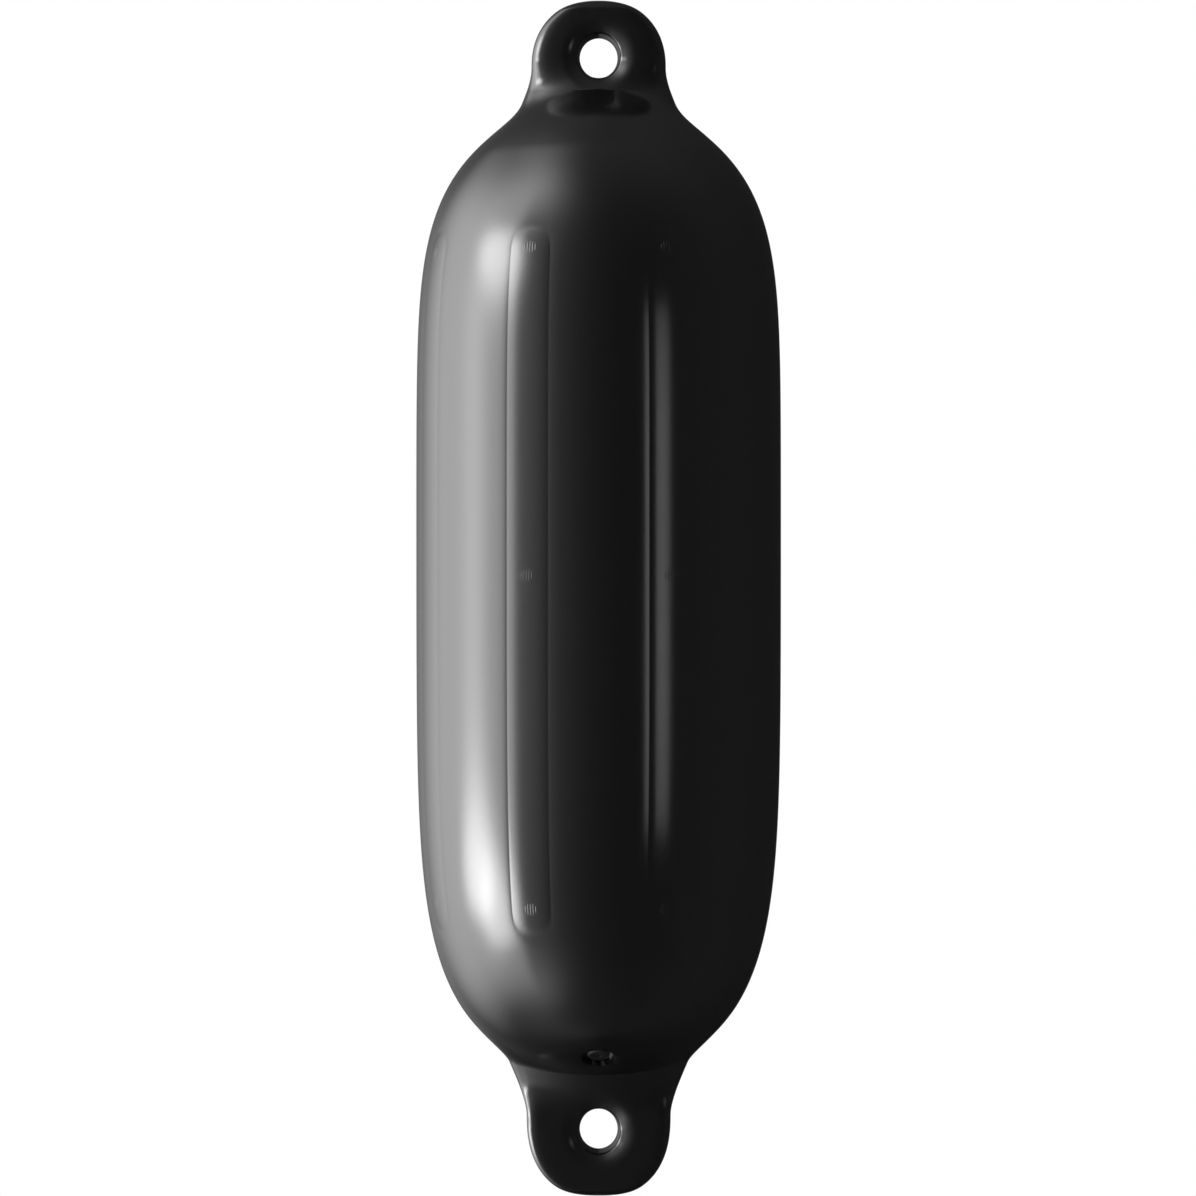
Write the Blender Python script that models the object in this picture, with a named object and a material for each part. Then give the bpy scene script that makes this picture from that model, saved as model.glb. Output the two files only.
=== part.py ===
"""Boat fender: an inflatable moulded shell with a rope eye at each end and an air valve.

Metres, +Z up. The fender hangs upright from its top eye. The origin is the centre of that
eye's hole, both holes run along Y, and the valve is at the front, towards -Y.
"""
import math

import bmesh
import bpy
from mathutils import Matrix, Vector

# Body: a turned barrel, and how each end tapers to its cap
BODY_RADIUS = 0.0840
HOLE_SPACING = 0.4931
TOP_CAP_BELOW_HOLE = 0.0165
TOP_TAPER = 0.271
TOP_TAPER_POWER = 8.2
TOP_CAP_POWER = 1.45
BOTTOM_CAP_ABOVE_HOLE = 0.0265
BOTTOM_TAPER = 0.400
BOTTOM_TAPER_POWER = 9.5
BOTTOM_CAP_POWER = 2.3

# Moulded wall, thicker under the solid eyes
WALL = 0.0040
END_WALL = 0.0080

# Eyes: reach past the hole, width, where they are widest, how round their end and their section
# are, where the faces start to bulge towards the neck, and the fillets into the barrel
TOP_EYE = {"reach": 0.0263, "width": 0.0618, "widest": -0.0047, "end_power": 2.2}
TOP_EYE.update({"power": 6.0, "neck_power": 6.5, "neck": 0.0200, "face_curve": 9.0})
TOP_EYE.update({"bulge_from": 0.0020, "bulge_run": 0.0140})
TOP_EYE.update({"side_fillet": 0.0112, "front_fillet": 0.0240})
BOTTOM_EYE = {"reach": 0.0306, "width": 0.0661, "widest": -0.0069, "end_power": 2.4}
BOTTOM_EYE.update({"power": 11.0, "neck_power": 15.0, "neck": 0.0200, "face_curve": 3.0})
BOTTOM_EYE.update({"bulge_from": 0.0060, "bulge_run": 0.0160})
BOTTOM_EYE.update({"side_fillet": 0.0091, "front_fillet": 0.0170})
NECK_BULGE_RADIUS = 0.1000
EYE_THICKNESS = 0.0280
EYE_RIM_ROUND = 0.0052
EYE_RIM_POWER = 2.2
FACE_FLARE = 0.24
EYE_FLARE = 0.45
EYE_FLARE_EASE = 0.0080
EYE_FLARE_LENGTH = 0.0450

# Rope holes: slightly oval, narrowest at the middle of the eye's thickness, with rounded lips
HOLE_WIDTH = 0.0174
HOLE_HEIGHT = 0.0183
HOLE_DRAFT = 0.0011
LIP_WIDTH = 0.0088
LIP_ROUND = 0.0052
LIP_SLOPE = 0.49
LIP_EDGE = 0.0008
LIP_SPREAD = 0.0024

# Ribs: low crowns with round ends inside a shallow valley, evenly set round the barrel
RIB_COUNT = 8
RIB_WIDTH = 0.0200
RIB_RISE = 0.00012
VALLEY_DEPTH = 0.00018
VALLEY_RUN = 0.0023
RIB_SHOULDER = 0.0025
RIB_TOP_BELOW_HOLE = 0.0819
RIB_BOTTOM_ABOVE_HOLE = 0.0930

# Air valve and its socket, square to the skin near the bottom eye
VALVE_FROM_AXIS = 0.0414
SOCKET_RADIUS = 0.0079
SOCKET_DEPTH = 0.0040
SOCKET_CHAMFER = 0.0003
BORE_RADIUS = 0.0032
BOSS_RADIUS = 0.0110
BOSS_DEPTH = 0.0095
VALVE_HEAD_RADIUS = 0.0053
VALVE_HEAD_HEIGHT = 0.0024
VALVE_HEAD_ROUND = 0.0012
VALVE_FLANGE_RADIUS = 0.0045
VALVE_FLANGE_HEIGHT = 0.0020
VALVE_TIP_RADIUS = 0.0034
VALVE_TIP_HEIGHT = 0.0012
NEEDLE_RADIUS = 0.0007
NEEDLE_DEPTH = 0.0080
CLEARANCE = 0.0003

# How finely the surfaces are divided
SKIN_TURN = math.radians(17)
SKIN_RUN = 0.075
CAVITY_TURN = math.radians(18)
CAVITY_RUN = 0.120
CAVITY_SEGMENTS = 32
HOLE_SEGMENTS = 28
SKIN_DEPTH_STEPS = 26
VALVE_SEGMENTS = 24
ROUND_STEPS = 3
OUTLINE_SAMPLES = 4000
LEVEL_ROOM = 0.0011
MERGE_DISTANCE = 1e-7

TOP_CAP_Z = -TOP_CAP_BELOW_HOLE
BOTTOM_HOLE_Z = -HOLE_SPACING
BOTTOM_CAP_Z = BOTTOM_HOLE_Z + BOTTOM_CAP_ABOVE_HOLE
TOP_END_Z = TOP_EYE["reach"]
BOTTOM_END_Z = BOTTOM_HOLE_Z - BOTTOM_EYE["reach"]
RIB_TOP_Z = -RIB_TOP_BELOW_HOLE
RIB_BOTTOM_Z = BOTTOM_HOLE_Z + RIB_BOTTOM_ABOVE_HOLE
MIDDLE_Z = (TOP_CAP_Z + BOTTOM_CAP_Z) / 2


def share(value, length):
    """How far value has gone along length, held between 0 and 1."""
    return min(max(value / length, 0.0), 1.0)


def eased(value, length):
    """The same share, starting and ending gently."""
    part = share(value, length)
    return part * part * (3 - 2 * part)


def smooth_max(first, second, reach):
    """The larger value, with a fillet where the two are within reach of each other."""
    blend = max(reach - abs(first - second), 0.0)
    return max(first, second) + blend * blend / (4 * reach)


def taper(distance, length, taper_power, cap_power):
    """Share of the full radius left at this distance up the taper; less than none past the cap."""
    left = 1 - max(distance / length, 0.0) ** taper_power
    return math.copysign(abs(left) ** (1 / cap_power), left)


def barrel_radius(z):
    """Radius of the turned body, without eyes or ribs."""
    top = taper(z - TOP_CAP_Z + TOP_TAPER, TOP_TAPER, TOP_TAPER_POWER, TOP_CAP_POWER)
    down = BOTTOM_CAP_Z + BOTTOM_TAPER - z
    bottom = taper(down, BOTTOM_TAPER, BOTTOM_TAPER_POWER, BOTTOM_CAP_POWER)
    return BODY_RADIUS * top * bottom


def rib_relief(angle, z):
    """Height of a rib above the barrel: a low crown inside a shallow, soft-sided valley."""
    pitch = math.tau / RIB_COUNT
    across = BODY_RADIUS * ((angle % pitch) - pitch / 2)
    half_width = RIB_WIDTH / 2
    past_end = max(z - RIB_TOP_Z + half_width, RIB_BOTTOM_Z + half_width - z, 0.0)
    inside = half_width - math.hypot(across, past_end)
    if inside < 0:
        return -VALLEY_DEPTH * math.exp(inside / VALLEY_RUN)
    return RIB_RISE - (RIB_RISE + VALLEY_DEPTH) * math.exp(-inside / RIB_SHOULDER)


def eye_radius(angle, z):
    """Distance from the axis to the surface of the nearer eye."""
    eye, outward = (TOP_EYE, z) if z > MIDDLE_Z else (BOTTOM_EYE, BOTTOM_HOLE_Z - z)
    past = outward - eye["widest"]
    end = share(past, eye["reach"] - eye["widest"]) ** eye["end_power"]
    half_width = eye["width"] / 2 * (1 - end) ** (1 / eye["end_power"])
    below = min(max(-past, 0.0), EYE_FLARE_LENGTH)
    half_width += EYE_FLARE * (math.hypot(below, EYE_FLARE_EASE) - EYE_FLARE_EASE)
    rim = share(outward - eye["reach"] + EYE_RIM_ROUND, EYE_RIM_ROUND)
    half_depth = EYE_THICKNESS / 2 * (1 - rim ** EYE_RIM_POWER) ** (1 / EYE_RIM_POWER)
    down = min(max(-outward, 0.0), EYE_FLARE_LENGTH)
    half_depth += FACE_FLARE * (math.hypot(down, EYE_FLARE_EASE) - EYE_FLARE_EASE)
    half_depth += eye["face_curve"] * down ** 2
    if min(half_width, half_depth) <= 0:
        return 0.0
    neck = eased(down, eye["neck"])
    power = eye["power"] + (eye["neck_power"] - eye["power"]) * neck
    power += (EYE_RIM_POWER - power) * rim
    bulge = eased(down - eye["bulge_from"], eye["bulge_run"]) / NECK_BULGE_RADIUS
    across, ahead = abs(math.cos(angle)), abs(math.sin(angle))
    face = ahead + math.sqrt(ahead ** 2 + 2 * half_depth * bulge * across ** 2)
    return ((across / half_width) ** power + (face / (2 * half_depth)) ** power) ** (-1 / power)


def skin_radius(angle, z):
    """Distance from the axis to the outer skin: barrel, ribs and eyes run together."""
    eye = TOP_EYE if z > MIDDLE_Z else BOTTOM_EYE
    fillet = eye["side_fillet"] + (eye["front_fillet"] - eye["side_fillet"]) * math.sin(angle) ** 2
    return smooth_max(barrel_radius(z), eye_radius(angle, z), fillet) + rib_relief(angle, z)


def skin_depth(x, z):
    """Distance of the skin in front of the axis at this place across and up."""
    low, high = 0.0, math.pi / 2
    for _ in range(SKIN_DEPTH_STEPS):
        middle = (low + high) / 2
        if skin_radius(middle, z) * math.cos(middle) > abs(x):
            low = middle
        else:
            high = middle
    return skin_radius(high, z) * math.sin(high)


def levels(outlines, top, bottom, turn, run):
    """Heights from top to bottom, closer together where one of the outlines bends."""
    heights = [top]
    lines = []
    centre, half = (top + bottom) / 2, (top - bottom) / 2
    turns = [math.pi * i / OUTLINE_SAMPLES for i in range(OUTLINE_SAMPLES + 1)]
    sample_heights = [centre + half * math.cos(turn) for turn in turns]
    for outline in outlines:
        lines.append([Vector((outline(z), z)) for z in sample_heights])
    gone = 0.0
    for i in range(1, OUTLINE_SAMPLES):
        steps = []
        for line in lines:
            before, after = line[i] - line[i - 1], line[i + 1] - line[i]
            steps.append(before.angle(after, 0.0) / turn + after.length / run)
        gone += max(steps)
        if gone >= 1:
            heights.append(sample_heights[i])
            gone = 0.0
    return heights + [bottom]


def turned_bmesh(profile, segments):
    """A closed surface turned about Z from (radius, z) points."""
    bm = bmesh.new()
    verts = [bm.verts.new((radius, 0, z)) for radius, z in profile]
    edges = [bm.edges.new(pair) for pair in zip(verts, verts[1:])]
    turn = {"cent": (0, 0, 0), "axis": (0, 0, 1), "angle": math.tau, "steps": segments}
    bmesh.ops.spin(bm, geom=verts + edges, use_merge=True, **turn)
    bmesh.ops.remove_doubles(bm, verts=bm.verts, dist=MERGE_DISTANCE)
    bmesh.ops.recalc_face_normals(bm, faces=bm.faces)
    return bm


def finished(name, bm, smooth_angle=math.radians(40)):
    """A named object with the bmesh as its mesh, shaded smooth apart from real edges."""
    mesh = bpy.data.meshes.new(name)
    bm.to_mesh(mesh)
    bm.free()
    mesh.shade_smooth()
    mesh.set_sharp_from_angle(angle=smooth_angle)
    obj = bpy.data.objects.new(name, mesh)
    bpy.context.scene.collection.objects.link(obj)
    return obj


def as_cutter(obj):
    """Marks an object that only shapes others."""
    obj.hide_render = True
    obj.display_type = "WIRE"
    return obj


def cut(obj, cutter):
    """Takes a cutter's shape out of an object."""
    modifier = obj.modifiers.new(cutter.name, "BOOLEAN")
    modifier.operation = "DIFFERENCE"
    modifier.solver = "EXACT"
    modifier.object = cutter


def material(name, color, roughness):
    """A plain plastic or rubber finish."""
    made = bpy.data.materials.new(name)
    made.use_nodes = True
    shader = made.node_tree.nodes["Principled BSDF"]
    shader.inputs["Base Color"].default_value = (*color, 1)
    shader.inputs["Roughness"].default_value = roughness
    shader.inputs["Metallic"].default_value = 0.0
    return made


def column_angles():
    """Angles of the skin's columns: valleys, both their sides, and the middles between."""
    pitch = math.tau / RIB_COUNT
    half_gap = pitch / 2 - RIB_WIDTH / 2 / BODY_RADIUS
    before, after = half_gap - VALLEY_RUN / BODY_RADIUS, half_gap + RIB_SHOULDER / BODY_RADIUS
    right = [0.0, half_gap / 2, before, half_gap, after]
    sector = right + [pitch / 2] + [pitch - angle for angle in reversed(right[1:])]
    return [pitch * rib + angle for rib in range(RIB_COUNT) for angle in sector]


def fixed_levels():
    """Heights the skin must have: its widest place, and through the round ends of the ribs."""
    half_width = RIB_WIDTH / 2
    depths = (-VALLEY_RUN, 0.0, RIB_SHOULDER, half_width * 0.6, half_width)
    ends = [RIB_TOP_Z - depth for depth in depths] + [RIB_BOTTOM_Z + depth for depth in depths]
    heights = [MIDDLE_Z + WALL * step / 10 for step in range(-500, 500)]
    return ends + [max(heights, key=barrel_radius)]


def skin():
    """The outer surface of the fender as one closed mesh."""
    outlines = [lambda z: skin_radius(0, z), lambda z: skin_radius(math.pi / 2, z)]
    heights = levels(outlines, TOP_END_Z, BOTTOM_END_Z, SKIN_TURN, SKIN_RUN)
    kept = fixed_levels()
    heights = [z for z in heights if min(abs(z - level) for level in kept) > LEVEL_ROOM]
    heights = sorted(heights + kept, reverse=True)
    angles = column_angles()
    profile = [(0, heights[0])] + [(1, z) for z in heights[1:-1]] + [(0, heights[-1])]
    bm = turned_bmesh(profile, len(angles))
    for vert in bm.verts:
        if vert.co.xy.length > 0.5:
            even_angle = math.atan2(vert.co.y, vert.co.x)
            angle = angles[round(even_angle / math.tau * len(angles)) % len(angles)]
            radius = skin_radius(angle, vert.co.z)
            vert.co.x = radius * math.cos(angle)
            vert.co.y = radius * math.sin(angle)
    return bm


def cavity():
    """The air space: the barrel's outline moved in by the wall, ended under the eyes."""
    heights = levels([barrel_radius], TOP_CAP_Z, BOTTOM_CAP_Z, CAVITY_TURN, CAVITY_RUN)
    step = WALL / 100
    profile = [(0, TOP_CAP_Z - WALL)]
    for z in heights[1:-1]:
        slope = (barrel_radius(z + step) - barrel_radius(z - step)) / (2 * step)
        square = math.hypot(1, slope)
        profile.append((max(barrel_radius(z) - WALL / square, 0), z + WALL * slope / square))
    bm = turned_bmesh(profile + [(0, BOTTOM_CAP_Z + WALL)], CAVITY_SEGMENTS)
    for end_z, outward in ((TOP_CAP_Z - END_WALL, 1), (BOTTOM_CAP_Z + END_WALL, -1)):
        parts = bm.verts[:] + bm.edges[:] + bm.faces[:]
        bmesh.ops.bisect_plane(
            bm, geom=parts, plane_co=(0, 0, end_z), plane_no=(0, 0, outward), clear_outer=True
        )
        bmesh.ops.holes_fill(bm, edges=[edge for edge in bm.edges if edge.is_boundary])
    bmesh.ops.recalc_face_normals(bm, faces=bm.faces)
    return bm


def lip_drop(reach):
    """How far the rounded lip lies below the eye's face, at a reach from the hole's centre."""
    into = HOLE_WIDTH / 2 + LIP_WIDTH - reach
    if into < 0:
        return into * LIP_SLOPE
    if into < LIP_ROUND:
        return LIP_SLOPE * into * into / (2 * LIP_ROUND)
    return LIP_SLOPE * (into - LIP_ROUND / 2)


def rope_hole(centre_z):
    """The tool for a rope hole: a waisted oval bar that opens out along the eye to a soft lip."""
    waist = HOLE_WIDTH / 2
    crest, edge = waist + LIP_WIDTH, waist + HOLE_DRAFT
    start = edge + LIP_EDGE
    reaches = [crest + LIP_SPREAD, crest - LIP_ROUND / 2, crest - LIP_ROUND, start, edge]
    faces = len(reaches)
    profile = [(0, faces + 1), (reaches[0], faces + 1)]
    profile += [(reach, faces - i) for i, reach in enumerate(reaches)]
    profile += [(waist, 0)] + [(reach, -step) for reach, step in reversed(profile)]
    bm = turned_bmesh(profile, HOLE_SEGMENTS)
    bmesh.ops.rotate(bm, verts=bm.verts, matrix=Matrix.Rotation(-math.pi / 2, 3, "X"))
    for vert in bm.verts:
        step, side = round(abs(vert.co.y)), math.copysign(1, vert.co.y)
        if vert.co.xz.length > 0:
            vert.co.z += (HOLE_HEIGHT - HOLE_WIDTH) / 2 * vert.co.z / vert.co.xz.length
        if step > faces:
            vert.co.y = side * EYE_THICKNESS
        elif step > 0:
            reach = reaches[faces - step]
            drop = lip_drop(max(reach, start)) + (LIP_EDGE if reach == edge else 0.0)
            vert.co.y = side * (skin_depth(vert.co.x, vert.co.z + centre_z) - drop)
    bmesh.ops.translate(bm, verts=bm.verts, vec=(0, 0, centre_z))
    bmesh.ops.recalc_face_normals(bm, faces=bm.faces)
    return bm


def valve_frame():
    """Where the valve sits: its origin on the skin, its Z square to the skin, outwards."""
    left = (1 - (VALVE_FROM_AXIS / BODY_RADIUS) ** BOTTOM_CAP_POWER) ** (1 / BOTTOM_TAPER_POWER)
    height = BOTTOM_CAP_Z + BOTTOM_TAPER * (1 - left)
    step = WALL / 100
    slope = (barrel_radius(height + step) - barrel_radius(height - step)) / (2 * step)
    outward = Vector((0, -1, -slope)).normalized()
    across = Vector((1, 0, 0))
    frame = Matrix((across, outward.cross(across), outward)).transposed().to_4x4()
    frame.translation = (0, -VALVE_FROM_AXIS, height)
    return frame


def socket():
    """The tool for the valve's socket: a chamfered recess and the bore into the air space."""
    above = SOCKET_DEPTH
    profile = [
        (0, above),
        (SOCKET_RADIUS + SOCKET_CHAMFER + above, above),
        (SOCKET_RADIUS, -SOCKET_CHAMFER),
        (SOCKET_RADIUS, -SOCKET_DEPTH),
        (BORE_RADIUS, -SOCKET_DEPTH),
        (BORE_RADIUS, -BOSS_DEPTH - WALL),
        (0, -BOSS_DEPTH - WALL),
    ]
    return turned_bmesh(profile, VALVE_SEGMENTS)


def boss():
    """The thick pad inside the wall, round the valve's bore."""
    profile = [(0, 0), (BOSS_RADIUS, 0), (BOSS_RADIUS, -BOSS_DEPTH), (0, -BOSS_DEPTH)]
    return turned_bmesh(profile, VALVE_SEGMENTS)


def valve():
    """The soft plug: round head, stem through the wall, flange inside, blind needle hole."""
    seat = -SOCKET_DEPTH + CLEARANCE
    head = seat + VALVE_HEAD_HEIGHT
    stem = BORE_RADIUS - CLEARANCE
    inside = -BOSS_DEPTH - CLEARANCE
    flange = inside - VALVE_FLANGE_HEIGHT
    profile = [(0, head - NEEDLE_DEPTH), (NEEDLE_RADIUS, head - NEEDLE_DEPTH), (NEEDLE_RADIUS, head)]
    for i in range(ROUND_STEPS + 1):
        turn = math.pi / 2 * i / ROUND_STEPS
        radius = VALVE_HEAD_RADIUS - VALVE_HEAD_ROUND * (1 - math.sin(turn))
        profile.append((radius, head - VALVE_HEAD_ROUND * (1 - math.cos(turn))))
    profile += [(VALVE_HEAD_RADIUS, seat), (stem, seat), (stem, inside), (VALVE_FLANGE_RADIUS, inside)]
    profile += [(VALVE_FLANGE_RADIUS, flange), (VALVE_TIP_RADIUS, flange - VALVE_TIP_HEIGHT)]
    profile += [(0, flange - VALVE_TIP_HEIGHT)]
    return turned_bmesh(profile, VALVE_SEGMENTS)


def build():
    for old in list(bpy.data.objects):
        bpy.data.objects.remove(old)
    frame = valve_frame()

    body = finished("fender_body", skin())
    body.data.materials.append(material("soft_black_vinyl", (0.012, 0.012, 0.013), 0.24))

    air_space = as_cutter(finished("air_space", cavity()))
    valve_boss = as_cutter(finished("valve_boss", boss()))
    valve_boss.matrix_world = frame
    cut(air_space, valve_boss)

    top_hole = as_cutter(finished("top_rope_hole", rope_hole(0)))
    bottom_hole = as_cutter(finished("bottom_rope_hole", rope_hole(BOTTOM_HOLE_Z)))
    valve_socket = as_cutter(finished("valve_socket", socket()))
    valve_socket.matrix_world = frame
    for cutter in (air_space, top_hole, bottom_hole, valve_socket):
        cut(body, cutter)

    air_valve = finished("air_valve", valve())
    air_valve.matrix_world = frame
    air_valve.data.materials.append(material("black_valve_rubber", (0.016, 0.016, 0.016), 0.45))


build()
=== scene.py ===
"""Looks for a black vinyl boat fender: fine moulded shell, air valve, vent marks and studio.

The shell follows the solids' rule: a turned barrel, eight low ribs and two flattened eyes run
together with a fillet. Only the fillet at the top eye starts more softly than in the solids.
Everything is in metres, in the part's own frame.
"""
import math

import bmesh
import bpy
from mathutils import Matrix, Vector


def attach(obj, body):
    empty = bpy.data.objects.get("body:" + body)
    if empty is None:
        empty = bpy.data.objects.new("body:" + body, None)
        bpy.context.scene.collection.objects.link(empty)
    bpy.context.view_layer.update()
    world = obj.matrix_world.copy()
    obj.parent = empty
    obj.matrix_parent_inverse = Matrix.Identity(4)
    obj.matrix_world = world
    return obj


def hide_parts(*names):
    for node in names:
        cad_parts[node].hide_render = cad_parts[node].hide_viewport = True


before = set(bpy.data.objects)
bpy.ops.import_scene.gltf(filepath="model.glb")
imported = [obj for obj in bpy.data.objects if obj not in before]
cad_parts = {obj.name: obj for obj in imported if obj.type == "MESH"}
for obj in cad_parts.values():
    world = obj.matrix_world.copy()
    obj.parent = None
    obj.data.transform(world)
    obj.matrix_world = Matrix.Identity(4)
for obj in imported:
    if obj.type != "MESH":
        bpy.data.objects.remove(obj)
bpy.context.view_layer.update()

# Barrel and the taper of its two ends
BODY_RADIUS = 0.0840
HOLE_SPACING = 0.4931
TOP_CAP_Z = -0.0165
TOP_TAPER = 0.271
TOP_TAPER_POWER = 8.2
TOP_CAP_POWER = 1.45
BOTTOM_CAP_Z = -0.4666
BOTTOM_TAPER = 0.400
BOTTOM_TAPER_POWER = 9.5
BOTTOM_CAP_POWER = 2.3
MIDDLE_Z = (TOP_CAP_Z + BOTTOM_CAP_Z) / 2

# Eyes: reach past the hole, width, where they are widest, how round their end and their section
# are, how far down the neck's own section takes over, how the faces curve and bulge towards the
# neck, and the fillets into the barrel, which start more softly at a higher order
TOP_EYE = {"reach": 0.0263, "width": 0.0618, "widest": -0.0047, "end_power": 2.2}
TOP_EYE.update({"power": 6.0, "neck_power": 6.5, "neck": 0.0200, "face_curve": 9.0})
TOP_EYE.update({"bulge_from": 0.0020, "bulge_run": 0.0140})
TOP_EYE.update({"side_fillet": 0.0112, "front_fillet": 0.0240, "fillet_order": 3})
BOTTOM_EYE = {"reach": 0.0306, "width": 0.0661, "widest": -0.0069, "end_power": 2.4}
BOTTOM_EYE.update({"power": 11.0, "neck_power": 15.0, "neck": 0.0200, "face_curve": 3.0})
BOTTOM_EYE.update({"bulge_from": 0.0060, "bulge_run": 0.0160})
BOTTOM_EYE.update({"side_fillet": 0.0091, "front_fillet": 0.0170, "fillet_order": 2})
NECK_BULGE_RADIUS = 0.1000
EYE_THICKNESS = 0.0280
EYE_RIM_ROUND = 0.0052
EYE_RIM_POWER = 2.2
FACE_FLARE = 0.24
EYE_FLARE = 0.45
EYE_FLARE_EASE = 0.0080
EYE_FLARE_LENGTH = 0.0450

# Rope holes, narrowest at the middle of the eye's thickness, and their rounded lips
HOLE_WIDTH = 0.0174
HOLE_HEIGHT = 0.0183
HOLE_DRAFT = 0.0011
LIP_WIDTH = 0.0088
LIP_ROUND = 0.0052
LIP_SLOPE = 0.49
LIP_EDGE = 0.0008
LIP_SPREAD = 0.0024
LIP_STEPS = 14
EDGE_STEPS = 5
HOLE_SEGMENTS = 112

# The points that are set on the lips' surface after cutting: from this many edge widths outside
# the bore's rim to this many spreads past the lip's crest, and farther from the eye's middle than
# this share of its thickness
MELT_EDGES = 1.1
MELT_SPREADS = 1.5
MELT_SHARE = 0.3

# Ribs: low crowns inside a shallow valley
RIB_COUNT = 8
RIB_WIDTH = 0.0200
RIB_RISE = 0.00012
VALLEY_DEPTH = 0.00018
VALLEY_RUN = 0.0023
RIB_SHOULDER = 0.0025
RIB_TOP_Z = -0.0819
RIB_BOTTOM_Z = -0.4001

# Vent marks of the mould, on the middle of each rib: where they are, how wide, how many bars, how
# proud, and each bar's half width as a share of the pitch
VENT_HEIGHTS = (-0.0915, -0.2385, -0.3880)
VENT_WIDTH = 0.0063
VENT_BARS = 5
VENT_PROUD = 0.00003
VENT_BAR_SHARE = 0.27
VENT_BAR_SEGMENTS = 8
VENT_SLOPE_STEP = 0.001

# Air valve: its place, the socket and bore in the body, and the plug with its needle hole
VALVE_FROM_AXIS = 0.0414
SOCKET_RADIUS = 0.0079
SOCKET_DEPTH = 0.0040
SOCKET_EASE = 0.0003
BORE_RADIUS = 0.0032
BORE_DEPTH = 0.0095
CLEARANCE = 0.0003
VALVE_HEAD_RADIUS = 0.0053
VALVE_HEAD_HEIGHT = 0.0024
VALVE_HEAD_ROUND = 0.0012
NEEDLE_RADIUS = 0.0007
NEEDLE_DEPTH = 0.0060
NEEDLE_LEAD = 0.0003
HEAD_STEPS = 8
VALVE_SEGMENTS = 64
VALVE_SLOPE_STEP = 0.00004

# Fineness of the skin, how near points are merged, and the angles past which an edge stays sharp
SKIN_TURN = math.radians(3.2)
SKIN_RUN = 0.008
EYE_RUN = 0.0014
GAP_COLUMNS = 18
RIB_COLUMNS = 16
VALLEY_ROOM = VALLEY_RUN * 3
OUTLINE_SAMPLES = 6000
DEPTH_STEPS = 26
MERGE_DISTANCE = 1e-7
WELD_DISTANCE = 0.00003
SHELL_SHARP = math.radians(50)
PLUG_SHARP = math.radians(40)

# Finishes: black vinyl with duller patches and faint orange peel, and duller, grained rubber
VINYL_COLOUR = (0.0050, 0.0050, 0.0051, 1)
VINYL_IOR = 1.54
VINYL_ROUGHNESS = (0.13, 0.19)
PATCH_SCALE = 35.0
PEEL_SCALE = 420.0
PEEL_STRENGTH = 0.06
PEEL_HEIGHT = 0.0002
RUBBER_COLOUR = (0.006, 0.006, 0.006, 1)
RUBBER_ROUGHNESS = 0.50
GRAIN_SCALE = 2500.0
GRAIN_STRENGTH = 0.2
GRAIN_HEIGHT = 0.0001

# The photograph's frame: its width in pixels, a pixel's size at the fender's axis, the row of the
# top hole's centre, and the camera's place and sensor
FRAME_PIXELS = 1196
PIXEL = 0.0004608
HOLE_ROW = 58.4
CAMERA_DISTANCE = 2.5
CAMERA_SIDE = -0.0003
SENSOR_MM = 36.0
VIEW_CENTRE_Z = -(FRAME_PIXELS / 2 - HOLE_ROW) * PIXEL

# The floor, well below the fender: its height, half its side, and its finish
FLOOR_Z = -0.82
FLOOR_REACH = 1.5
FLOOR_COLOUR = (0.82, 0.82, 0.82, 1)
FLOOR_ROUGHNESS = 0.7

# The light tent: glows on its cloth as the fender sees them, each with its bearing and height in
# degrees (bearing 0 towards the camera, negative to the left), half its spread each way, how flat
# its middle is, and its level. The side glows fade out between the two heights of SIDE_LIGHT_END,
# so that they don't meet overhead.
TENT_RADIUS = 12.0
TENT_SEGMENTS = 72
TENT_LEVEL = 0.012
TENT_DOOR = 3.5
SIDE_LIGHT_END = (88.0, 58.0)
SIDE_GLOWS = (
    ("haze", -80.0, 25.0, 40.0, 64.0, 1.0, 2.2),
    ("upper_lamp", -69.0, 18.0, 18.0, 8.0, 2.0, 9.3),
    ("lower_lamp_left", -85.0, -11.0, 14.0, 6.5, 2.0, 9.0),
    ("lower_lamp_right", -72.0, -17.5, 15.0, 8.5, 2.0, 8.5),
    ("left_wall", -135.0, -5.0, 30.0, 22.0, 1.0, 0.72),
    ("upper_spill", -58.0, 46.0, 26.0, 14.0, 1.0, 2.4),
    ("lower_spill", -56.0, -42.0, 24.0, 14.0, 1.0, 1.2),
    ("middle_lamp", -85.0, 0.0, 11.0, 24.0, 1.0, 2.8),
    ("right_wall", 80.0, 0.0, 45.0, 80.0, 1.0, 0.105),
)
END_GLOWS = (
    ("ceiling", -30.0, 90.0, 300.0, 48.0, 1.0, 0.24),
    ("ground", -40.0, -80.0, 90.0, 60.0, 1.0, 0.12),
)

# The big diffusing panel on the left: its level, and for each edge where the light starts and
# where it is full
DIFFUSER = {"level": 3.4, "right": (-51.0, -62.0), "left": (-150.0, -100.0)}
DIFFUSER.update({"top": (52.0, 20.0), "bottom": (-52.0, -22.0)})

# The narrow upright strip light on the right, near the fender: its bearing and distance from the
# fender's front, the way it faces, its middle above the camera, its size, spread and power
STRIP = {"bearing": 41.0, "distance": 0.60, "turn": 38.5, "middle": 0.020}
STRIP.update({"width": 0.142, "height": 0.41, "spread": 30.0, "power": 0.0083})


def share(value, length):
    """How far value has gone along length, held between 0 and 1."""
    return min(max(value / length, 0.0), 1.0)


def eased(value, length):
    """The same share, starting and ending gently."""
    part = share(value, length)
    return part * part * (3 - 2 * part)


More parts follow.
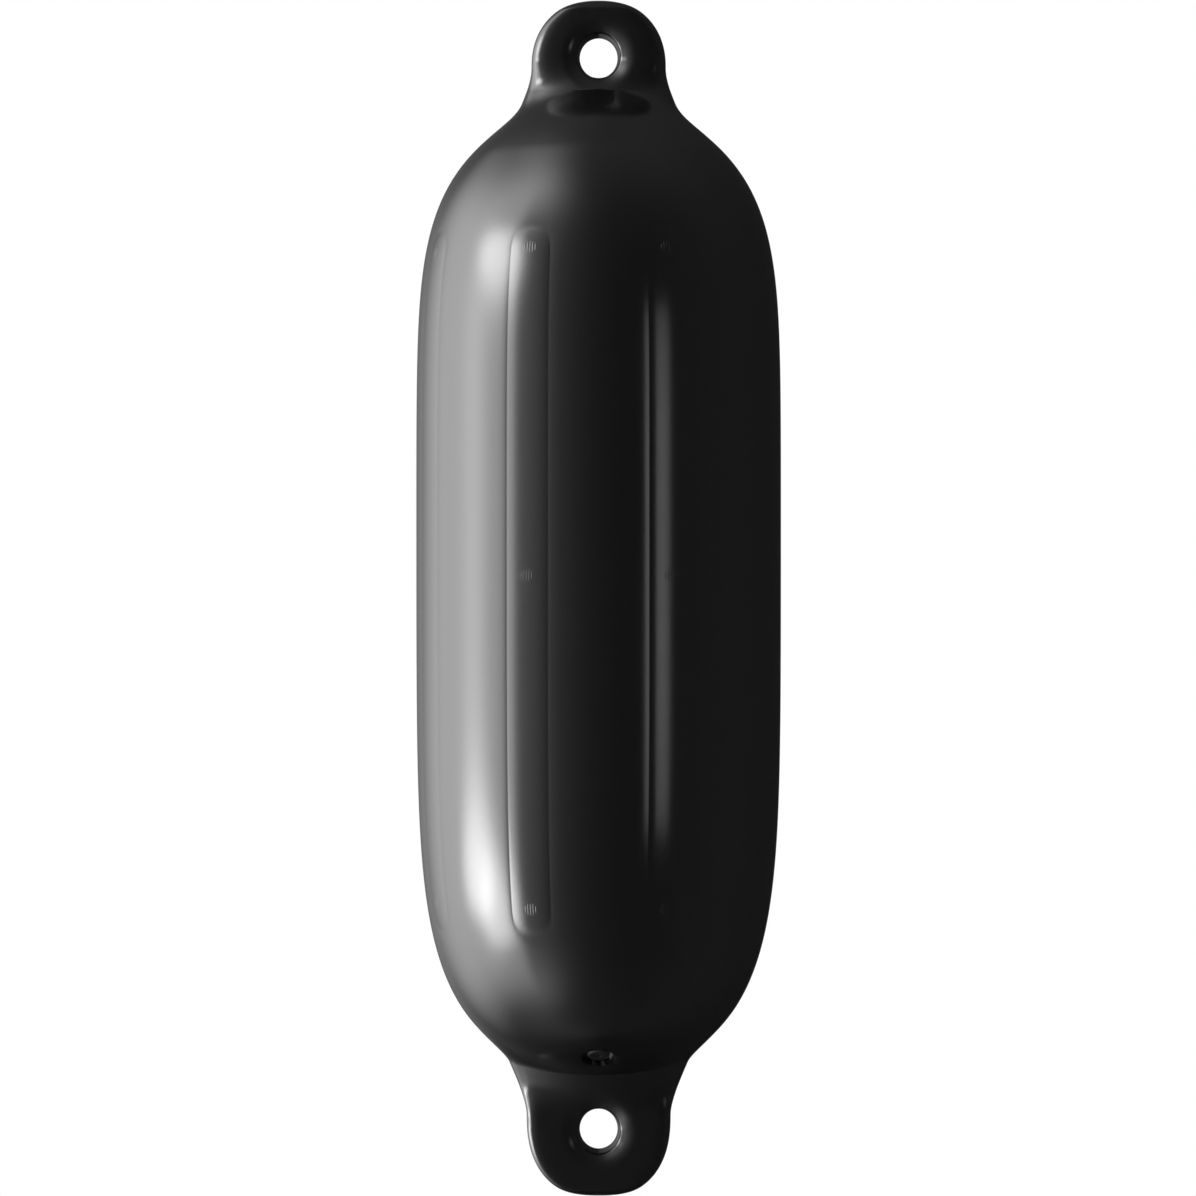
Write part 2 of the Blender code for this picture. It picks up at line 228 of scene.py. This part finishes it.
def smooth_max(first, second, reach, order):
    """The larger value, with a fillet where the two are near; a higher order starts it softer."""
    ends = reach * order / 2
    near = max(ends - abs(first - second), 0.0) / ends
    return max(first, second) + near ** order * reach / 4


def taper(distance, length, taper_power, cap_power):
    """Share of the full radius left at this distance up the taper; less than none past the cap."""
    left = 1 - max(distance / length, 0.0) ** taper_power
    return math.copysign(abs(left) ** (1 / cap_power), left)


def barrel_radius(z):
    """Radius of the turned body, without eyes or ribs."""
    above, below = z - TOP_CAP_Z + TOP_TAPER, BOTTOM_CAP_Z + BOTTOM_TAPER - z
    top = taper(above, TOP_TAPER, TOP_TAPER_POWER, TOP_CAP_POWER)
    bottom = taper(below, BOTTOM_TAPER, BOTTOM_TAPER_POWER, BOTTOM_CAP_POWER)
    return BODY_RADIUS * top * bottom


def rib_relief(angle, z):
    """Height of a rib above the barrel: a low crown inside a shallow, soft-sided valley."""
    pitch = math.tau / RIB_COUNT
    across = BODY_RADIUS * ((angle % pitch) - pitch / 2)
    half_width = RIB_WIDTH / 2
    past_end = max(z - RIB_TOP_Z + half_width, RIB_BOTTOM_Z + half_width - z, 0.0)
    inside = half_width - math.hypot(across, past_end)
    if inside < 0:
        return -VALLEY_DEPTH * math.exp(inside / VALLEY_RUN)
    return RIB_RISE - (RIB_RISE + VALLEY_DEPTH) * math.exp(-inside / RIB_SHOULDER)


def eye_radius(angle, z):
    """Distance from the axis to the surface of the nearer eye."""
    eye, outward = (TOP_EYE, z) if z > MIDDLE_Z else (BOTTOM_EYE, -HOLE_SPACING - z)
    past = outward - eye["widest"]
    end = share(past, eye["reach"] - eye["widest"]) ** eye["end_power"]
    half_width = eye["width"] / 2 * (1 - end) ** (1 / eye["end_power"])
    below = min(max(-past, 0.0), EYE_FLARE_LENGTH)
    half_width += EYE_FLARE * (math.hypot(below, EYE_FLARE_EASE) - EYE_FLARE_EASE)
    rim = share(outward - eye["reach"] + EYE_RIM_ROUND, EYE_RIM_ROUND)
    half_depth = EYE_THICKNESS / 2 * (1 - rim ** EYE_RIM_POWER) ** (1 / EYE_RIM_POWER)
    down = min(max(-outward, 0.0), EYE_FLARE_LENGTH)
    half_depth += FACE_FLARE * (math.hypot(down, EYE_FLARE_EASE) - EYE_FLARE_EASE)
    half_depth += eye["face_curve"] * down ** 2
    if min(half_width, half_depth) <= 0:
        return 0.0
    neck = eased(down, eye["neck"])
    power = eye["power"] + (eye["neck_power"] - eye["power"]) * neck
    power += (EYE_RIM_POWER - power) * rim
    bulge = eased(down - eye["bulge_from"], eye["bulge_run"]) / NECK_BULGE_RADIUS
    across, ahead = abs(math.cos(angle)), abs(math.sin(angle))
    face = ahead + math.sqrt(ahead ** 2 + 2 * half_depth * bulge * across ** 2)
    return ((across / half_width) ** power + (face / (2 * half_depth)) ** power) ** (-1 / power)


def skin_radius(angle, z):
    """Distance from the axis to the outer skin: barrel, ribs and eyes run together."""
    eye = TOP_EYE if z > MIDDLE_Z else BOTTOM_EYE
    fillet = eye["side_fillet"] + (eye["front_fillet"] - eye["side_fillet"]) * math.sin(angle) ** 2
    body = smooth_max(barrel_radius(z), eye_radius(angle, z), fillet, eye["fillet_order"])
    return body + rib_relief(angle, z)


def levels(top, bottom):
    """Heights from top to bottom, closer together where the side or front outline bends."""
    centre, half = (top + bottom) / 2, (top - bottom) / 2
    turns = [math.pi * i / OUTLINE_SAMPLES for i in range(OUTLINE_SAMPLES + 1)]
    samples = [centre + half * math.cos(turn) for turn in turns]
    side = [Vector((skin_radius(0, z), z)) for z in samples]
    front = [Vector((skin_radius(math.pi / 2, z), z)) for z in samples]
    heights, gone = [top], 0.0
    for i in range(1, OUTLINE_SAMPLES):
        z = samples[i]
        beside_eye = max(z + TOP_EYE["reach"], -HOLE_SPACING + BOTTOM_EYE["reach"] - z) > 0
        beside_end = RIB_TOP_Z - RIB_WIDTH < z < RIB_TOP_Z + VALLEY_ROOM
        beside_end = beside_end or RIB_BOTTOM_Z - VALLEY_ROOM < z < RIB_BOTTOM_Z + RIB_WIDTH
        run = EYE_RUN if beside_eye or beside_end else SKIN_RUN
        steps = []
        for line in (side, front):
            before, after = line[i] - line[i - 1], line[i + 1] - line[i]
            steps.append(before.angle(after, 0.0) / SKIN_TURN + after.length / run)
        gone += max(steps)
        if gone >= 1:
            heights.append(z)
            gone = 0.0
    return heights + [bottom]


def column_angles():
    """Angles of the skin's columns, closest together at the valleys beside the ribs."""
    pitch = math.tau / RIB_COUNT
    rib = RIB_WIDTH / BODY_RADIUS
    gap = pitch - rib
    angles = []
    for number in range(RIB_COUNT):
        start = pitch * number - gap / 2
        for width, columns in ((gap, GAP_COLUMNS), (rib, RIB_COLUMNS)):
            for i in range(columns):
                even = 2 * i / columns - 1
                crowded = math.copysign(1 - (1 - abs(even)) ** 2, even)
                angles.append(start + width * (1 + crowded) / 2)
            start += width
    return angles


def turned(profile, segments):
    """A closed surface turned about Z from (radius, z) points."""
    bm = bmesh.new()
    verts = [bm.verts.new((radius, 0, z)) for radius, z in profile]
    edges = [bm.edges.new(pair) for pair in zip(verts, verts[1:])]
    geom = verts + edges
    full_turn = {"angle": math.tau, "steps": segments, "use_merge": True}
    bmesh.ops.spin(bm, geom=geom, cent=(0, 0, 0), axis=(0, 0, 1), **full_turn)
    bmesh.ops.remove_doubles(bm, verts=bm.verts, dist=MERGE_DISTANCE)
    bmesh.ops.recalc_face_normals(bm, faces=bm.faces)
    return bm


def linked(name, bm):
    """A named object in the scene with the bmesh as its mesh."""
    mesh = bpy.data.meshes.new(name)
    bm.to_mesh(mesh)
    bm.free()
    obj = bpy.data.objects.new(name, mesh)
    bpy.context.scene.collection.objects.link(obj)
    return obj


def skin():
    """The outer surface: a turned tube whose points are set out to the skin rule."""
    heights = levels(TOP_EYE["reach"], -HOLE_SPACING - BOTTOM_EYE["reach"])
    angles = column_angles()
    profile = [(0, heights[0])] + [(1, z) for z in heights[1:-1]] + [(0, heights[-1])]
    bm = turned(profile, len(angles))
    for vert in bm.verts:
        on_axis = vert.co.xy.length < 0.5
        if not on_axis:
            column = round(math.atan2(vert.co.y, vert.co.x) / math.tau * len(angles))
            angle = angles[column % len(angles)]
            radius = skin_radius(angle, vert.co.z)
            vert.co.x = radius * math.cos(angle)
            vert.co.y = radius * math.sin(angle)
    return bm


def skin_depth(x, z):
    """Distance of the skin in front of the axis at this place across and up."""
    low, high = 0.0, math.pi / 2
    for _ in range(DEPTH_STEPS):
        middle = (low + high) / 2
        if skin_radius(middle, z) * math.cos(middle) > abs(x):
            low = middle
        else:
            high = middle
    return skin_radius(high, z) * math.sin(high)


def lip_drop(reach):
    """How far the rounded lip lies below the eye's face, at this reach from the hole's centre."""
    into = HOLE_WIDTH / 2 + LIP_WIDTH - reach
    if into < 0:
        return into * LIP_SLOPE
    if into < LIP_ROUND:
        return LIP_SLOPE * into * into / (2 * LIP_ROUND)
    return LIP_SLOPE * (into - LIP_ROUND / 2)


def hole_reach(x, up):
    """Reach of a point from a hole's centre, as if its oval were round."""
    reach = math.hypot(x, up)
    return reach - (HOLE_HEIGHT - HOLE_WIDTH) / 2 * (up / reach) ** 2 if reach > 0 else 0.0


def rope_hole(centre_z):
    """The tool for a rope hole: a waisted oval bar that opens out along the eye to a soft lip."""
    inner = HOLE_WIDTH / 2 + HOLE_DRAFT
    outer = HOLE_WIDTH / 2 + LIP_WIDTH + LIP_SPREAD
    start = inner + LIP_EDGE
    slope = math.atan(LIP_SLOPE)
    reaches = [outer - (outer - start) * i / LIP_STEPS for i in range(LIP_STEPS + 1)]
    rings = [(reach, None) for reach in reaches]
    for i in range(1, EDGE_STEPS + 1):
        turn = slope + (math.pi / 2 - slope) * i / EDGE_STEPS
        rise = math.sin(turn) - math.sin(slope)
        rings.append((start - LIP_EDGE * rise / (1 - math.sin(slope)), i))
    profile = [(0, len(rings) + 1), (outer, len(rings) + 1)]
    profile += [(reach, len(rings) - i) for i, (reach, _) in enumerate(rings)]
    profile += [(HOLE_WIDTH / 2, 0)] + [(reach, -step) for reach, step in reversed(profile)]
    bm = turned(profile, HOLE_SEGMENTS)
    bmesh.ops.rotate(bm, verts=bm.verts, matrix=Matrix.Rotation(-math.pi / 2, 3, "X"))
    for vert in bm.verts:
        step, side = round(abs(vert.co.y)), math.copysign(1, vert.co.y)
        if vert.co.xz.length > 0:
            vert.co.z += (HOLE_HEIGHT - HOLE_WIDTH) / 2 * vert.co.z / vert.co.xz.length
        if step == 0:
            continue
        if step > len(rings):
            vert.co.y = side * EYE_THICKNESS
            continue
        reach, edge = rings[len(rings) - step]
        depth = skin_depth(vert.co.x, vert.co.z + centre_z) - lip_drop(max(reach, start))
        if edge:
            turn = slope + (math.pi / 2 - slope) * edge / EDGE_STEPS
            depth -= LIP_EDGE * (math.cos(slope) - math.cos(turn)) / (1 - math.sin(slope))
        vert.co.y = side * depth
    bmesh.ops.translate(bm, verts=bm.verts, vec=(0, 0, centre_z))
    bmesh.ops.recalc_face_normals(bm, faces=bm.faces)
    return bm


def valve_frame():
    """Where the valve sits: its origin on the skin, its Z square to the skin, outwards."""
    left = (1 - (VALVE_FROM_AXIS / BODY_RADIUS) ** BOTTOM_CAP_POWER) ** (1 / BOTTOM_TAPER_POWER)
    height = BOTTOM_CAP_Z + BOTTOM_TAPER * (1 - left)
    step = VALVE_SLOPE_STEP
    slope = (barrel_radius(height + step) - barrel_radius(height - step)) / (2 * step)
    outward = Vector((0, -1, -slope)).normalized()
    across = Vector((1, 0, 0))
    place = Matrix((across, outward.cross(across), outward)).transposed().to_4x4()
    place.translation = (0, -VALVE_FROM_AXIS, height)
    return place


def socket(place):
    """The tool for the valve's socket: a recess with an eased edge, and the bore below it."""
    profile = [
        (0, SOCKET_DEPTH),
        (SOCKET_RADIUS + SOCKET_EASE + SOCKET_DEPTH, SOCKET_DEPTH),
        (SOCKET_RADIUS, -SOCKET_EASE),
        (SOCKET_RADIUS, -SOCKET_DEPTH),
        (BORE_RADIUS, -SOCKET_DEPTH),
        (BORE_RADIUS, -BORE_DEPTH),
        (0, -BORE_DEPTH),
    ]
    bm = turned(profile, VALVE_SEGMENTS)
    bmesh.ops.transform(bm, matrix=place, verts=bm.verts)
    return bm


def cut_all(obj, tools):
    """Takes the tools' shapes out of an object for good, and removes the tools."""
    for tool in tools:
        modifier = obj.modifiers.new(tool.name, "BOOLEAN")
        modifier.operation = "DIFFERENCE"
        modifier.solver = "EXACT"
        modifier.object = tool
    graph = bpy.context.evaluated_depsgraph_get()
    result = bpy.data.meshes.new_from_object(obj.evaluated_get(graph))
    obj.modifiers.clear()
    obj.data = result
    for tool in tools:
        bpy.data.objects.remove(tool)


def melt_lips(obj):
    """Sets the points near each lip's crest on one surface that runs lip and eye together."""
    bm = bmesh.new()
    bm.from_mesh(obj.data)
    bmesh.ops.remove_doubles(bm, verts=bm.verts, dist=WELD_DISTANCE)
    bmesh.ops.triangulate(bm, faces=[face for face in bm.faces if len(face.verts) > 4])
    inner = HOLE_WIDTH / 2 + HOLE_DRAFT + LIP_EDGE * MELT_EDGES
    crest = HOLE_WIDTH / 2 + LIP_WIDTH
    for vert in bm.verts:
        x, y, z = vert.co
        reach = hole_reach(x, z if z > MIDDLE_Z else z + HOLE_SPACING)
        beside_lip = inner < reach < crest + MELT_SPREADS * LIP_SPREAD
        if beside_lip and abs(y) > EYE_THICKNESS * MELT_SHARE:
            vert.co.y = math.copysign(skin_depth(x, z) - max(lip_drop(reach), 0), y)
    bmesh.ops.recalc_face_normals(bm, faces=bm.faces)
    bm.to_mesh(obj.data)
    bm.free()


def make_shell():
    """The fine fender shell, with both rope holes and the valve's socket cut in it."""
    shell = linked("fender_shell", skin())
    place = valve_frame()
    tools = [linked("top_hole", rope_hole(0)), linked("bottom_hole", rope_hole(-HOLE_SPACING))]
    tools.append(linked("valve_socket", socket(place)))
    cut_all(shell, tools)
    melt_lips(shell)
    shell.data.shade_smooth()
    shell.data.set_sharp_from_angle(angle=SHELL_SHARP)
    return shell


def make_valve():
    """The valve plug: a round head with a blind needle hole, and its stem in the bore."""
    seat = -SOCKET_DEPTH + CLEARANCE
    head = seat + VALVE_HEAD_HEIGHT
    stem = BORE_RADIUS - CLEARANCE
    needle_end, stem_end = head - NEEDLE_DEPTH, -BORE_DEPTH + CLEARANCE
    profile = [(0, needle_end), (NEEDLE_RADIUS, needle_end)]
    profile += [(NEEDLE_RADIUS, head - NEEDLE_LEAD), (NEEDLE_RADIUS * 2, head)]
    for i in range(HEAD_STEPS + 1):
        turn = math.pi / 2 * i / HEAD_STEPS
        radius = VALVE_HEAD_RADIUS - VALVE_HEAD_ROUND * (1 - math.sin(turn))
        profile.append((radius, head - VALVE_HEAD_ROUND * (1 - math.cos(turn))))
    profile += [(VALVE_HEAD_RADIUS, seat), (stem, seat), (stem, stem_end), (0, stem_end)]
    bm = turned(profile, VALVE_SEGMENTS)
    bmesh.ops.transform(bm, matrix=valve_frame(), verts=bm.verts)
    plug = linked("valve_plug", bm)
    plug.data.shade_smooth()
    plug.data.set_sharp_from_angle(angle=PLUG_SHARP)
    return plug


def vent_bar(bm, across, surface, slope):
    """One flat upright bar of a vent mark, sunk in the skin but for its crest."""
    half = VENT_WIDTH / VENT_BARS * VENT_BAR_SHARE
    length = math.sqrt((VENT_WIDTH / 2) ** 2 - across ** 2)
    sides = {"u_segments": VENT_BAR_SEGMENTS, "v_segments": VENT_BAR_SEGMENTS}
    made = bmesh.ops.create_uvsphere(bm, radius=1, **sides)["verts"]
    bmesh.ops.scale(bm, verts=made, vec=(VENT_PROUD * 2, half, length))
    bmesh.ops.rotate(bm, verts=made, matrix=Matrix.Rotation(math.atan(slope), 3, "Y"))
    bend = surface - math.sqrt(surface ** 2 - across ** 2)
    bmesh.ops.translate(bm, verts=made, vec=(surface - bend - VENT_PROUD, across, 0))
    return made


def make_vent_marks():
    """The mould's vent marks: small round groups of upright bars, just proud of each rib."""
    bm = bmesh.new()
    pitch = VENT_WIDTH / VENT_BARS
    for rib in range(RIB_COUNT):
        angle = math.tau * (rib + 0.5) / RIB_COUNT
        for height in VENT_HEIGHTS:
            surface = skin_radius(angle, height)
            above = skin_radius(angle, height + VENT_SLOPE_STEP)
            below = skin_radius(angle, height - VENT_SLOPE_STEP)
            slope = (above - below) / (2 * VENT_SLOPE_STEP)
            for bar in range(VENT_BARS):
                across = pitch * (bar - (VENT_BARS - 1) / 2)
                made = vent_bar(bm, across, surface, slope)
                bmesh.ops.translate(bm, verts=made, vec=(0, 0, height))
                bmesh.ops.rotate(bm, verts=made, matrix=Matrix.Rotation(angle, 3, "Z"))
    bmesh.ops.recalc_face_normals(bm, faces=bm.faces)
    marks = linked("vent_marks", bm)
    marks.data.shade_smooth()
    return marks


class Nodes:
    """Short ways to add and join shader nodes."""

    def __init__(self, tree):
        self.tree = tree
        tree.nodes.clear()

    def add(self, kind, **settings):
        """A new node, with values for its sockets and its own settings."""
        node = self.tree.nodes.new(kind)
        for name, value in settings.items():
            if name in node.inputs.keys():
                node.inputs[name].default_value = value
            else:
                setattr(node, name, value)
        return node

    def join(self, source, target):
        """A link from one socket to another."""
        self.tree.links.new(source, target)


def vinyl():
    """Soft black vinyl from a polished mould: deep gloss, faint orange peel and dull patches."""
    made = bpy.data.materials.new("glossy_black_vinyl")
    made.use_nodes = True
    n = Nodes(made.node_tree)
    place = n.add("ShaderNodeTexCoord").outputs["Object"]
    shader = n.add("ShaderNodeBsdfPrincipled")
    shader.inputs["Base Color"].default_value = VINYL_COLOUR
    shader.inputs["IOR"].default_value = VINYL_IOR
    out = n.add("ShaderNodeOutputMaterial")
    n.join(shader.outputs["BSDF"], out.inputs["Surface"])

    cloud = n.add("ShaderNodeTexNoise", Scale=PATCH_SCALE, Detail=4.0, Roughness=0.6)
    n.join(place, cloud.inputs["Vector"])
    rough = n.add("ShaderNodeMapRange")
    rough.inputs["To Min"].default_value = VINYL_ROUGHNESS[0]
    rough.inputs["To Max"].default_value = VINYL_ROUGHNESS[1]
    n.join(cloud.outputs["Fac"], rough.inputs["Value"])
    n.join(rough.outputs["Result"], shader.inputs["Roughness"])

    peel = n.add("ShaderNodeTexNoise", Scale=PEEL_SCALE, Detail=2.0, Roughness=0.5)
    n.join(place, peel.inputs["Vector"])
    bump = n.add("ShaderNodeBump")
    bump.inputs["Strength"].default_value = PEEL_STRENGTH
    bump.inputs["Distance"].default_value = PEEL_HEIGHT
    n.join(peel.outputs["Fac"], bump.inputs["Height"])
    n.join(bump.outputs["Normal"], shader.inputs["Normal"])
    return made


def valve_rubber():
    """Duller black rubber for the plug, with a fine moulded grain."""
    made = bpy.data.materials.new("black_valve_rubber")
    made.use_nodes = True
    n = Nodes(made.node_tree)
    place = n.add("ShaderNodeTexCoord").outputs["Object"]
    shader = n.add("ShaderNodeBsdfPrincipled")
    shader.inputs["Base Color"].default_value = RUBBER_COLOUR
    shader.inputs["Roughness"].default_value = RUBBER_ROUGHNESS
    out = n.add("ShaderNodeOutputMaterial")
    n.join(shader.outputs["BSDF"], out.inputs["Surface"])
    grain = n.add("ShaderNodeTexNoise", Scale=GRAIN_SCALE, Detail=2.0)
    n.join(place, grain.inputs["Vector"])
    bump = n.add("ShaderNodeBump")
    bump.inputs["Strength"].default_value = GRAIN_STRENGTH
    bump.inputs["Distance"].default_value = GRAIN_HEIGHT
    n.join(grain.outputs["Fac"], bump.inputs["Height"])
    n.join(bump.outputs["Normal"], shader.inputs["Normal"])
    return made


def dress(obj, finish):
    """Gives a piece its finish and its body."""
    obj.data.materials.clear()
    obj.data.materials.append(finish)
    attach(obj, "root")


def sum_of(n, first, second):
    """The sum of two shader values."""
    node = n.add("ShaderNodeMath", operation="ADD")
    n.join(first, node.inputs[0])
    n.join(second, node.inputs[1])
    return node.outputs[0]


def scaled_square(n, value, centre, spread):
    """Square of how many spreads a shader value is from a centre."""
    moved = n.add("ShaderNodeMath", operation="SUBTRACT")
    n.join(value, moved.inputs[0])
    moved.inputs[1].default_value = centre
    scaled = n.add("ShaderNodeMath", operation="DIVIDE")
    n.join(moved.outputs[0], scaled.inputs[0])
    scaled.inputs[1].default_value = spread
    square = n.add("ShaderNodeMath", operation="MULTIPLY")
    n.join(scaled.outputs[0], square.inputs[0])
    n.join(scaled.outputs[0], square.inputs[1])
    return square.outputs[0]


def soft_glow(n, bearing, height, glow):
    """One lamp's soft round glow on the cloth."""
    name, centre, up, wide, tall, flat, level = glow
    both = sum_of(n, scaled_square(n, bearing, centre, wide), scaled_square(n, height, up, tall))
    raised = n.add("ShaderNodeMath", operation="POWER")
    n.join(both, raised.inputs[0])
    raised.inputs[1].default_value = flat
    turned_over = n.add("ShaderNodeMath", operation="MULTIPLY")
    n.join(raised.outputs[0], turned_over.inputs[0])
    turned_over.inputs[1].default_value = -1.0
    fall = n.add("ShaderNodeMath", operation="EXPONENT")
    n.join(turned_over.outputs[0], fall.inputs[0])
    bright = n.add("ShaderNodeMath", operation="MULTIPLY")
    bright.label = name
    n.join(fall.outputs[0], bright.inputs[0])
    bright.inputs[1].default_value = level
    return bright.outputs[0]


def soft_edge(n, value, limits):
    """Rises smoothly from 0 to 1 between two limits of a shader value."""
    edge = n.add("ShaderNodeMapRange", interpolation_type="SMOOTHSTEP")
    n.join(value, edge.inputs["Value"])
    edge.inputs["From Min"].default_value = limits[0]
    edge.inputs["From Max"].default_value = limits[1]
    return edge.outputs["Result"]


def diffuser_glow(n, bearing, height):
    """The big diffusing panel on the left, with a soft edge all round."""
    edges = [soft_edge(n, bearing, DIFFUSER[side]) for side in ("right", "left")]
    edges += [soft_edge(n, height, DIFFUSER[side]) for side in ("top", "bottom")]
    bright = n.add("ShaderNodeMath", operation="MULTIPLY")
    n.join(edges[0], bright.inputs[0])
    bright.inputs[1].default_value = DIFFUSER["level"]
    for edge in edges[1:]:
        faded = n.add("ShaderNodeMath", operation="MULTIPLY")
        n.join(bright.outputs[0], faded.inputs[0])
        n.join(edge, faded.inputs[1])
        bright = faded
    return bright.outputs[0]


def add_strip():
    """The strip light: a narrow upright lamp whose grid keeps its light nearly level."""
    lamp = bpy.data.lights.new("strip_light", "AREA")
    lamp.shape = "RECTANGLE"
    lamp.size = STRIP["width"]
    lamp.size_y = STRIP["height"]
    lamp.spread = math.radians(STRIP["spread"])
    lamp.energy = STRIP["power"]
    strip = bpy.data.objects.new("strip_light", lamp)
    bpy.context.scene.collection.objects.link(strip)
    bearing = math.radians(STRIP["bearing"])
    aside = STRIP["distance"] * math.sin(bearing)
    ahead = BODY_RADIUS + STRIP["distance"] * math.cos(bearing)
    strip.location = (aside, -ahead, VIEW_CENTRE_Z + STRIP["middle"])
    strip.rotation_euler = (math.pi / 2, 0, math.radians(STRIP["turn"]))
    strip.visible_camera = False


def degrees(n, radians):
    """A shader angle in degrees."""
    node = n.add("ShaderNodeMath", operation="DEGREES")
    n.join(radians, node.inputs[0])
    return node.outputs[0]


def tent_cloth():
    """Grey tent cloth with the glow of the lamps behind it, by bearing and height."""
    made = bpy.data.materials.new("tent_cloth")
    made.use_nodes = True
    n = Nodes(made.node_tree)
    axes = n.add("ShaderNodeSeparateXYZ")
    n.join(n.add("ShaderNodeTexCoord").outputs["Object"], axes.inputs[0])
    ahead = n.add("ShaderNodeMath", operation="MULTIPLY")
    n.join(axes.outputs["Y"], ahead.inputs[0])
    ahead.inputs[1].default_value = -1.0
    around = n.add("ShaderNodeMath", operation="ARCTAN2")
    n.join(axes.outputs["X"], around.inputs[0])
    n.join(ahead.outputs[0], around.inputs[1])
    up = n.add("ShaderNodeMath", operation="DIVIDE")
    n.join(axes.outputs["Z"], up.inputs[0])
    up.inputs[1].default_value = TENT_RADIUS
    climb = n.add("ShaderNodeMath", operation="ARCSINE")
    n.join(up.outputs[0], climb.inputs[0])
    bearing, height = degrees(n, around.outputs[0]), degrees(n, climb.outputs[0])
    sides = diffuser_glow(n, bearing, height)
    for glow in SIDE_GLOWS:
        sides = sum_of(n, sides, soft_glow(n, bearing, height, glow))
    ended = n.add("ShaderNodeMath", operation="MULTIPLY_ADD")
    n.join(sides, ended.inputs[0])
    n.join(soft_edge(n, height, SIDE_LIGHT_END), ended.inputs[1])
    ended.inputs[2].default_value = TENT_LEVEL
    total = ended.outputs[0]
    for glow in END_GLOWS:
        total = sum_of(n, total, soft_glow(n, bearing, height, glow))
    light = n.add("ShaderNodeEmission", Color=(1, 1, 1, 1))
    n.join(total, light.inputs["Strength"])
    out = n.add("ShaderNodeOutputMaterial")
    n.join(light.outputs["Emission"], out.inputs["Surface"])
    return made


def add_tent():
    """A light tent round the fender, open behind it; the camera looks through its cloth."""
    bm = bmesh.new()
    sides = {"u_segments": TENT_SEGMENTS, "v_segments": TENT_SEGMENTS // 2}
    bmesh.ops.create_uvsphere(bm, radius=TENT_RADIUS, **sides)
    door = (0, TENT_RADIUS * math.cos(math.radians(TENT_DOOR)), 0)
    parts = bm.verts[:] + bm.edges[:] + bm.faces[:]
    bmesh.ops.bisect_plane(bm, geom=parts, plane_co=door, plane_no=(0, 1, 0), clear_outer=True)
    tent = linked("light_tent", bm)
    tent.location = (0, 0, VIEW_CENTRE_Z)
    tent.data.materials.append(tent_cloth())
    tent.visible_camera = False
    tent.visible_transmission = False
    tent.visible_shadow = False


def add_backdrop():
    """White all round for the camera, gloss and glass, and a pale floor that takes the shadow."""
    n = Nodes(bpy.context.scene.world.node_tree)
    path = n.add("ShaderNodeLightPath")
    shown = sum_of(n, path.outputs["Is Camera Ray"], path.outputs["Is Glossy Ray"])
    shown = sum_of(n, shown, path.outputs["Is Transmission Ray"])
    air = n.add("ShaderNodeBackground", Color=(1, 1, 1, 1))
    n.join(shown, air.inputs["Strength"])
    out = n.add("ShaderNodeOutputWorld")
    n.join(air.outputs["Background"], out.inputs["Surface"])

    bm = bmesh.new()
    bmesh.ops.create_grid(bm, x_segments=1, y_segments=1, size=FLOOR_REACH)
    floor = linked("floor", bm)
    floor.location = (0, 0, FLOOR_Z)
    made = bpy.data.materials.new("pale_floor")
    made.use_nodes = True
    shader = made.node_tree.nodes["Principled BSDF"]
    shader.inputs["Base Color"].default_value = FLOOR_COLOUR
    shader.inputs["Roughness"].default_value = FLOOR_ROUGHNESS
    floor.data.materials.append(made)
    floor.visible_glossy = False


def add_camera():
    """Level camera at half the fender's height, framed as the photograph is."""
    camera = bpy.data.cameras.new("camera")
    obj = bpy.data.objects.new("camera", camera)
    bpy.context.scene.collection.objects.link(obj)
    obj.location = (CAMERA_SIDE, -CAMERA_DISTANCE, VIEW_CENTRE_Z)
    obj.rotation_euler = (math.pi / 2, 0, 0)
    camera.sensor_width = SENSOR_MM
    camera.lens = SENSOR_MM * CAMERA_DISTANCE / (FRAME_PIXELS * PIXEL)
    bpy.context.scene.camera = obj


scene = bpy.context.scene
scene.view_settings.view_transform = "Standard"
if scene.world is None:
    scene.world = bpy.data.worlds.new("studio")
scene.world.use_nodes = True

shell = make_shell()
plug = make_valve()
marks = make_vent_marks()
finish = vinyl()
dress(shell, finish)
dress(marks, finish)
dress(plug, valve_rubber())
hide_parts("fender_body")
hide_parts("air_valve")

add_camera()
add_backdrop()
add_tent()
add_strip()
